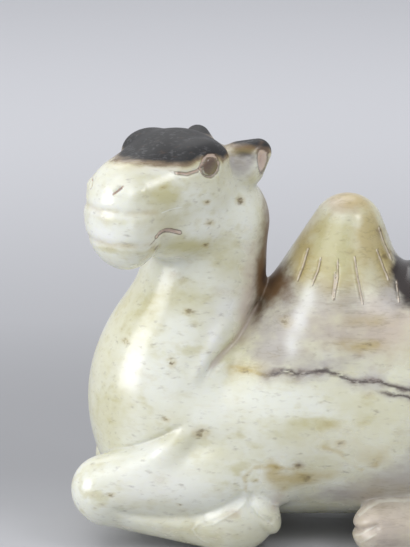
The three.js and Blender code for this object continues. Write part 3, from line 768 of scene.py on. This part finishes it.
box_low, box_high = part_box("camel")
middle = (np.array(box_low) + np.array(box_high))/2
form_middle = (spots.min(0) + spots.max(0))/2
shift = np.array([middle[0]*1000 - form_middle[0], middle[1]*1000 - form_middle[1], 0])
spots = (spots + shift)*0.001
mesh.vertices.foreach_set("co", spots.ravel())
mesh.polygons.foreach_set("use_smooth", np.ones(len(mesh.polygons), bool))
mesh.update()

# The jade: pale celadon stone with cloudy green, flecks, a black skin and rust where water got in
jade = bpy.data.materials.new("jade")
jade.use_nodes = True
tree = jade.node_tree
shader = tree.nodes["Principled BSDF"]


def put(target, value):
    if isinstance(value, bpy.types.NodeSocket):
        tree.links.new(value, target)
    else:
        target.default_value = value


def layer(name):
    node = tree.nodes.new("ShaderNodeAttribute")
    node.attribute_name = name
    return node.outputs["Fac"]


def calc(operation, a, b=0.5, c=0.5):
    node = tree.nodes.new("ShaderNodeMath")
    node.operation = operation
    put(node.inputs[0], a)
    put(node.inputs[1], b)
    put(node.inputs[2], c)
    return node.outputs[0]


def times(*factors):
    product = factors[0]
    for factor in factors[1:]:
        product = calc("MULTIPLY", product, factor)
    return product


def swayed(value, noise, width):
    """The value, moved up and down by the noise."""
    return calc("MULTIPLY_ADD", calc("SUBTRACT", noise, 0.5), width, value)


def rise(value, low, high):
    node = tree.nodes.new("ShaderNodeMapRange")
    node.interpolation_type = "SMOOTHSTEP"
    put(node.inputs["Value"], value)
    put(node.inputs["From Min"], low)
    put(node.inputs["From Max"], high)
    return node.outputs["Result"]


def fall(value, low, high):
    return calc("SUBTRACT", 1, rise(value, low, high))


def tint(share, under, over):
    node = tree.nodes.new("ShaderNodeMix")
    node.data_type = "RGBA"
    put(node.inputs[0], share)
    put(node.inputs[6], under)
    put(node.inputs[7], over)
    return node.outputs[2]


place = tree.nodes.new("ShaderNodeTexCoord").outputs["Object"]


def grain(size, detail=3, stretch=(1, 1, 1)):
    """Soft noise whose lumps are about size millimetres, longer along a stretched axis."""
    scale = tree.nodes.new("ShaderNodeMapping")
    put(scale.inputs["Vector"], place)
    put(scale.inputs["Scale"], [1000/size/s for s in stretch])
    noise = tree.nodes.new("ShaderNodeTexNoise")
    noise.inputs["Scale"].default_value = 1
    noise.inputs["Detail"].default_value = detail
    put(noise.inputs["Vector"], scale.outputs[0])
    return noise.outputs["Fac"]


PALE = (0.64, 0.63, 0.47, 1)
MILKY = (0.76, 0.775, 0.70, 1)
WHITE = (0.82, 0.83, 0.82, 1)
GREEN = (0.54, 0.51, 0.28, 1)
OCHRE = (0.46, 0.36, 0.12, 1)
FLECK = (0.15, 0.105, 0.04, 1)
ROSE = (0.53, 0.43, 0.35, 1)
RUSSET = (0.16, 0.095, 0.045, 1)
UMBER = (0.045, 0.022, 0.014, 1)
GREY = (0.38, 0.35, 0.34, 1)
DARK = (0.020, 0.012, 0.010, 1)
SKIN = (0.020, 0.020, 0.021, 1)
FRINGE = (0.15, 0.085, 0.035, 1)
SCRATCH = (0.11, 0.11, 0.115, 1)
POWDER = (0.64, 0.52, 0.43, 1)
CHALK = (0.76, 0.68, 0.56, 1)
CUT_SHADE = (0.12, 0.075, 0.05, 1)
INCLUSION = (0.045, 0.028, 0.026, 1)
VEIN_EDGE = (0.16, 0.11, 0.09, 1)
IRIS = (0.22, 0.18, 0.09, 1)
NOSTRIL_SHADE = (0.36, 0.24, 0.18, 1)

cloudy = grain(6.5, 3)
mottle = grain(2.4, 5, (1.5, 1, 0.9))
fine = grain(0.75, 4, (1.9, 1, 0.75))
fibres = grain(0.7, 5, (3.5, 1.5, 0.8))
ragged = grain(1.3, 6, (1.5, 1, 0.85))

milk_part = rise(swayed(swayed(layer("milk"), cloudy, 1.8), mottle, 1.0), -0.4, 0.85)
colour = tint(milk_part, PALE, MILKY)
colour = tint(times(rise(mottle, 0.46, 0.7), rise(cloudy, 0.62, 0.4), 0.55), colour, GREEN)
colour = tint(times(rise(fibres, 0.52, 0.7), 0.08), colour, OCHRE)
green_part = rise(swayed(swayed(layer("green"), ragged, 0.5), mottle, 0.8), 0.05, 0.8)
colour = tint(times(green_part, 0.92), colour, GREEN)
colour = tint(times(layer("lip_line"), rise(mottle, 0.3, 0.6), 0.5), colour, OCHRE)
rose_part = rise(swayed(swayed(layer("rose"), ragged, 0.4), mottle, 0.7), 0.05, 0.8)
colour = tint(times(rose_part, 0.75), colour, ROSE)
# Grey patches in the stone; those on the hind foot and under the belly are painted shade
grey_and_shade_part = rise(swayed(swayed(layer("grey_and_shade"), ragged, 0.5), mottle, 0.6), 0.05, 0.85)
colour = tint(times(grey_and_shade_part, 0.8), colour, GREY)
ochre_part = rise(swayed(swayed(layer("ochre"), ragged, 0.5), mottle, 0.6), 0.0, 1.0)
colour = tint(times(ochre_part, 0.75), colour, OCHRE)

# Hair-thin cracks with rust in them, and small flecks
thread = fall(calc("ABSOLUTE", calc("SUBTRACT", grain(2.0, 4, (4, 1, 0.55)), 0.5)), 0.004, 0.03)
stains_and_shade = calc("ADD", calc("ADD", layer("ochre"), layer("grey_and_shade")), layer("speck"))
stains_and_shade = calc("ADD", stains_and_shade, times(layer("rose"), 0.5))
colour = tint(times(thread, rise(swayed(stains_and_shade, mottle, 1.4), 0.4, 1.1), 0.2), colour, FLECK)
fleck_part = times(rise(fine, 0.5, 0.7), rise(swayed(layer("speck"), ragged, 0.6), 0.32, 1.0))
loose_part = times(rise(fine, 0.62, 0.74), rise(mottle, 0.54, 0.68), rise(ragged, 0.4, 0.6), 0.04)
colour = tint(times(rise(swayed(layer("speck"), ragged, 0.8), 0.25, 1.1), 0.5), colour, OCHRE)
colour = tint(times(calc("MAXIMUM", fleck_part, loose_part), 0.6), colour, FLECK)
colour = tint(times(rise(swayed(layer("speck"), fine, 0.5), 0.7, 1.0), 0.6), colour, FLECK)

# Rust on the back of the neck and in the notch, and the dark rear hump, with painted shade in the valley
# between the humps
russet_part = rise(swayed(swayed(layer("russet"), ragged, 0.5), mottle, 0.4), 0.1, 0.95)
colour = tint(russet_part, colour, RUSSET)
colour = tint(rise(swayed(layer("russet"), ragged, 0.4), 0.95, 1.6), colour, UMBER)
dark_part = rise(swayed(swayed(layer("dark"), ragged, 0.6), mottle, 0.5), 0.15, 0.8)
colour = tint(dark_part, colour, DARK)

# Paler patches; most of them are painted highlights where the polish catches the window and the lamp, the
# rest make the stone paler
pale_and_highlight_part = rise(swayed(layer("pale_and_highlight"), ragged, 0.3), 0.05, 0.9)
colour = tint(times(pale_and_highlight_part, 0.7), colour, WHITE)

# The dark vein along the flank, with a cloudy border and a rusty front end
wander = swayed(swayed(0.0, grain(1.1, 6, (1.6, 1, 1)), 1.1), grain(4, 2), 0.7)
strands = rise(grain(0.5, 5, (2.2, 1.5, 0.8)), 0.32, 0.5)
high = calc("ABSOLUTE", calc("ADD", layer("above_vein"), wander))
low = calc("ABSOLUTE", calc("ADD", layer("above_low_vein"), wander))
halo_high = times(fall(high, 0.1, 2.1), layer("vein_dark"))
halo_low = times(fall(low, 0.1, 1.3), layer("low_vein_dark"))
halo = calc("MAXIMUM", halo_high, halo_low)
colour = tint(times(halo, rise(mottle, 0.3, 0.6), 0.6), colour, GREY)
haze_high = times(fall(high, 0.2, 0.9), layer("vein_dark"))
haze = calc("MAXIMUM", haze_high, times(fall(low, 0.1, 0.7), layer("low_vein_dark")))
colour = tint(times(haze, rise(ragged, 0.35, 0.6), 0.6), colour, VEIN_EDGE)
high_part = times(fall(high, 0.0, 0.5), layer("vein_dark"))
low_part = times(fall(low, 0.0, 0.4), layer("low_vein_dark"))
vein_part = calc("MAXIMUM", high_part, low_part)
colour = tint(times(vein_part, strands, 0.82), colour, INCLUSION)
colour = tint(times(fall(high, 0.1, 0.6), layer("vein_rust"), strands, 0.55), colour, OCHRE)

# The black skin of the pebble left on the crown and ears
edge = swayed(swayed(layer("above_skin"), ragged, 0.9), fine, 0.35)
colour = tint(times(rise(edge, -1.3, -0.1), 0.5), colour, OCHRE)
colour = tint(times(rise(edge, -0.7, 0.05), 0.85), colour, FRINGE)
skin_part = rise(edge, -0.2, 0.55)
worn = times(rise(grain(0.35, 3, (2, 1, 0.8)), 0.5, 0.66), rise(mottle, 0.4, 0.6))
colour = tint(skin_part, colour, tint(times(worn, 0.55), SKIN, SCRATCH))

# The cuts, with pale powder in them and dark edges
CUT_SWAY = 0.16
END_FADE = 0.2


def line_part(name, inner, outer, reach):
    """Full within inner of a kept stroke's middle, none beyond outer, and none beyond reach of its ends."""
    off = calc("ABSOLUTE", swayed(layer(name + "_beside"), fine, CUT_SWAY))
    return times(fall(off, inner, outer), fall(layer(name + "_near"), reach, reach + END_FADE))


def line_edge(name, inner, outer, reach):
    """One side of a kept stroke, from inner to outer away from its middle."""
    off = swayed(layer(name + "_beside"), fine, CUT_SWAY)
    across = times(rise(off, inner - 0.05, inner), fall(off, outer, outer + 0.08))
    return times(across, fall(layer(name + "_near"), reach, reach + END_FADE))


hair_shade = calc("MAXIMUM", line_edge("hair", 0.1, 0.2, 0.3), line_edge("rear_hair", 0.1, 0.2, 0.3))
colour = tint(times(hair_shade, 0.6), colour, CUT_SHADE)
hair_part = calc("MAXIMUM", line_part("hair", 0.03, 0.17, 0.15), line_part("rear_hair", 0.03, 0.17, 0.15))
colour = tint(times(hair_part, rise(ragged, 0.25, 0.5), 0.85), colour, CHALK)
colour = tint(times(line_part("whisker", 0.03, 0.14, 0.1), 0.85), colour, MILKY)
rust_part = times(line_part("rust_line", 0.0, 0.65, 0.5), rise(ragged, 0.35, 0.6))
colour = tint(times(rust_part, 0.45), colour, OCHRE)
ridge_part = line_part("ridge", 0.04, 0.18, 0.2)
colour = tint(times(ridge_part, 0.35), colour, MILKY)
mouth_end_part = times(line_part("mouth_end", 0.04, 0.2, 0.1), 0.6)
mouth_shade = calc("MAXIMUM", line_part("mouth", 0.26, 0.46, 0.35), mouth_end_part)
colour = tint(times(mouth_shade, 0.8), colour, CUT_SHADE)
mouth_part = times(line_part("mouth", 0.12, 0.27, 0.2), rise(fine, 0.25, 0.45))
colour = tint(mouth_part, colour, POWDER)
duct_shade = line_part("duct", 0.2, 0.34, 0.3)
colour = tint(times(duct_shade, 0.6), colour, CUT_SHADE)
duct_part = line_part("duct", 0.06, 0.22, 0.15)
colour = tint(duct_part, colour, POWDER)
lid = times(rise(layer("eye_upper"), -0.4, 1.4), 0.16)
from_ring = calc("SUBTRACT", calc("ABSOLUTE", calc("SUBTRACT", layer("eye_round"), 1.58)), lid)
from_ring = swayed(from_ring, fine, 0.4)
colour = tint(times(fall(from_ring, 0.1, 0.3), 0.6), colour, CUT_SHADE)
ring_part = fall(from_ring, -0.04, 0.13)
colour = tint(ring_part, colour, POWDER)
iris_part = fall(swayed(layer("eye_round"), fine, 0.2), 1.2, 1.42)
under_lid = rise(swayed(layer("eye_upper"), fine, 1.6), -1.0, 0.8)
colour = tint(iris_part, colour, tint(under_lid, IRIS, CUT_SHADE))
nostril_part = line_part("nostril", 0.08, 0.24, 0.15)
colour = tint(times(nostril_part, 0.85), colour, NOSTRIL_SHADE)
hollow = swayed(layer("ear_hollow"), fine, 0.4)
colour = tint(times(rise(hollow, 0.02, 0.2), 0.7), colour, CUT_SHADE)
colour = tint(times(rise(hollow, 0.22, 0.42), 0.9), colour, POWDER)
colour = tint(times(rise(layer("neck_cut"), 0.5, 0.9), 0.5), colour, ROSE)
put(shader.inputs["Base Color"], colour)

powdery = calc("MAXIMUM", calc("MAXIMUM", hair_part, ring_part), calc("MAXIMUM", mouth_part, duct_part))
stain_and_shade_part = calc("MAXIMUM", calc("MAXIMUM", rose_part, grey_and_shade_part), calc("MAXIMUM", ochre_part, russet_part))
dull = calc("MAXIMUM", calc("MAXIMUM", powdery, times(stain_and_shade_part, 0.5)), times(skin_part, 0.9))
put(shader.inputs["Roughness"], calc("MULTIPLY_ADD", dull, 0.3, 0.26))
shader.inputs["IOR"].default_value = 1.6
put(shader.inputs["Specular IOR Level"], calc("MULTIPLY_ADD", skin_part, -0.22, 0.5))
clear = calc("SUBTRACT", 1, calc("MAXIMUM", skin_part, calc("MAXIMUM", dark_part, russet_part)))
put(shader.inputs["Subsurface Weight"], times(clear, 0.6))
shader.inputs["Subsurface Radius"].default_value = (1.0, 0.95, 0.65)
shader.inputs["Subsurface Scale"].default_value = 0.002
put(shader.inputs["Coat Weight"], times(clear, 0.35))
shader.inputs["Coat Roughness"].default_value = 0.16
mesh.materials.append(jade)
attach(camel, "root")
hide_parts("camel")

# Floor
# A wide sheet of grey paper that the carving lies on. Its tone changes with depth: pale in front,
# grey just behind the carving and paler again toward the back. These tones are painted light and shade on the
# paper.
half = 2.0
corners = [(-half, -half, 0), (half, -half, 0), (half, half, 0), (-half, half, 0)]
paper = bpy.data.meshes.new("paper")
paper.from_pydata(corners, [], [(0, 1, 2, 3)])
floor = bpy.data.objects.new("floor", paper)
bpy.context.scene.collection.objects.link(floor)
grey_paper = bpy.data.materials.new("grey_paper")
grey_paper.use_nodes = True
sheet = grey_paper.node_tree.nodes["Principled BSDF"]
shade = grey_paper.node_tree.nodes.new("ShaderNodeValToRGB")
# Each painted tone with its place between the near and the far end of the change
PAINTED_LIGHT_TONES = ((0.0, 0.64), (0.12, 0.215), (0.27, 0.39), (0.56, 0.64), (0.88, 0.60))
for at, tone in PAINTED_LIGHT_TONES:
    stop = shade.color_ramp.elements[0] if at == 0 else shade.color_ramp.elements.new(at)
    stop.position = at
    stop.color = (tone, tone*1.01, tone*1.06, 1)
shade.color_ramp.interpolation = "B_SPLINE"
shade.color_ramp.elements.remove(shade.color_ramp.elements[-1])
where = grey_paper.node_tree.nodes.new("ShaderNodeTexCoord").outputs["Object"]
back = grey_paper.node_tree.nodes.new("ShaderNodeSeparateXYZ")
TONES_FROM = -0.05
TONES_TO = 0.62
depth = grey_paper.node_tree.nodes.new("ShaderNodeMapRange")
depth.inputs["From Min"].default_value = TONES_FROM
depth.inputs["From Max"].default_value = TONES_TO
grey_paper.node_tree.links.new(where, back.inputs[0])
grey_paper.node_tree.links.new(back.outputs["Y"], depth.inputs["Value"])
grey_paper.node_tree.links.new(depth.outputs["Result"], shade.inputs["Fac"])
grey_paper.node_tree.links.new(shade.outputs["Color"], sheet.inputs["Base Color"])
sheet.inputs["Roughness"].default_value = 0.8
paper.materials.append(grey_paper)
floor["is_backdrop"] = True

# Light
# A soft window low on the left with a skylight above it, a small lamp on the right, a wide soft
# ceiling behind, and pale air all round. Sizes are metres and strengths are watts.
aim = Vector((-0.015, 0, 0.03))


def soft_light(name, azimuth, elevation, distance, width, height, watts):
    data = bpy.data.lights.new(name, "AREA")
    data.shape = "RECTANGLE"
    data.size = width
    data.size_y = height
    data.energy = watts
    lamp = bpy.data.objects.new(name, data)
    a = math.radians(azimuth)
    e = math.radians(elevation)
    away = Vector((math.sin(a)*math.cos(e), -math.cos(a)*math.cos(e), math.sin(e)))
    lamp.location = aim + away*distance
    lamp.rotation_mode = "QUATERNION"
    lamp.rotation_quaternion = away.to_track_quat("Z", "Y")
    bpy.context.scene.collection.objects.link(lamp)


soft_light("window", -67, 15, 0.5, 0.25, 0.28, 1.0)
soft_light("skylight", -44, 50, 0.5, 0.38, 0.26, 0.46)
soft_light("lamp", 47, 45, 0.5, 0.15, 0.13, 0.38)
soft_light("ceiling", -170, 58, 0.62, 0.5, 0.34, 1.0)
world = bpy.data.worlds.new("air")
world.use_nodes = True
world.node_tree.nodes["Background"].inputs["Color"].default_value = (0.92, 0.93, 0.96, 1)
world.node_tree.nodes["Background"].inputs["Strength"].default_value = 0.75
bpy.context.scene.world = world

# Camera
# A long lens a little above the camel, close on its head and forequarters.
data = bpy.data.cameras.new("camera")
data.sensor_width = 36
data.lens = 197.4
camera = bpy.data.objects.new("camera", data)
target = (Vector((-18.5, 0, 39.5)) + Vector(shift))*0.001
tilt = math.radians(13)
camera.location = target + Vector((0, -math.cos(tilt), math.sin(tilt)))*0.45
camera.rotation_euler = (math.pi/2 - tilt, 0, 0)
data.clip_start = 0.02
data.clip_end = 10
bpy.context.scene.collection.objects.link(camera)
bpy.context.scene.camera = camera
bpy.context.scene.view_settings.view_transform = "Standard"

low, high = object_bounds()
